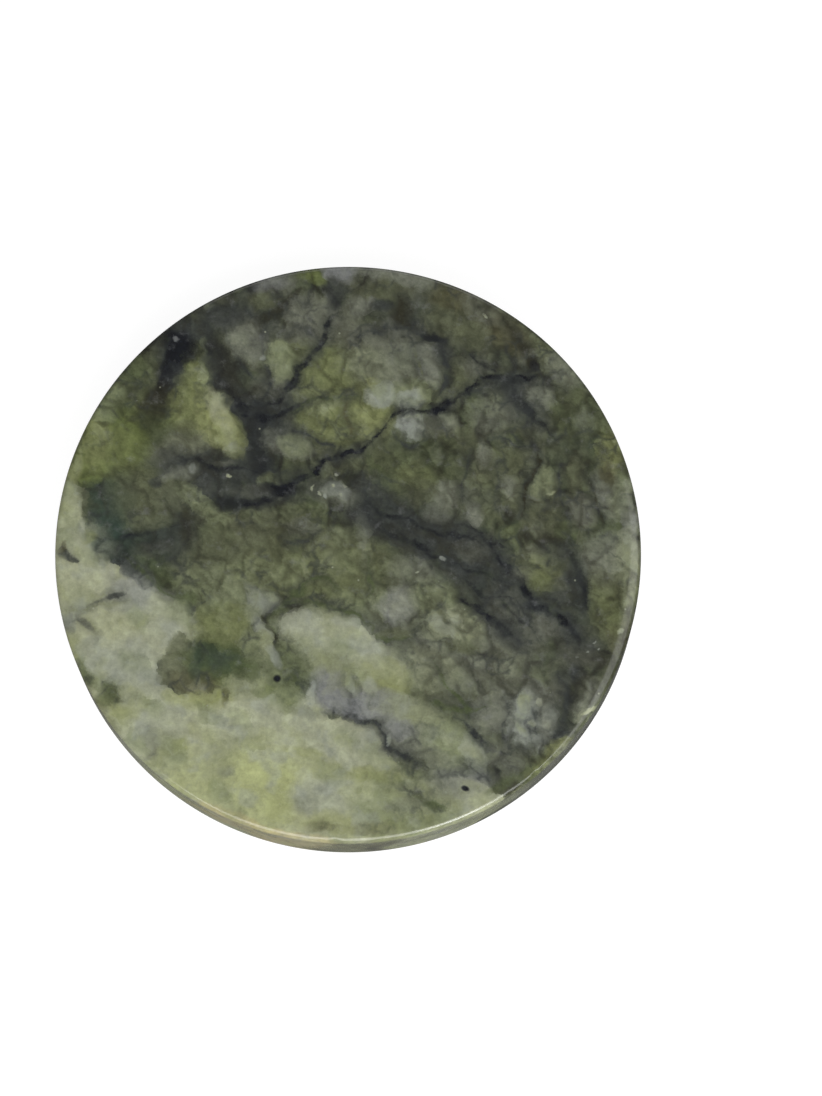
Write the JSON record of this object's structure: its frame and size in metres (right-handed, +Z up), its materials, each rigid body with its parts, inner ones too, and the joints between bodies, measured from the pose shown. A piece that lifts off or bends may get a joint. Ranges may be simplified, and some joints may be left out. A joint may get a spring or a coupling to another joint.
{
  "type": "jade stone",
  "caption": "Flat round of polished green jade stone with softened edges, a cool level slab that lies on a table and holds a drop of glue, balm or colour.",
  "frame": {"origin": "middle of the flat underside", "axes": "+Z up, square to both flat faces; the stretch of upper edge that is ground wider lies towards +X"},
  "size_m": [0.05, 0.05, 0.007],
  "materials": {
    "polished_jade": "gloss"
  },
  "bodies": {
    "root": {"jade_stone": "polished_jade"}
  },
  "joints": []
}
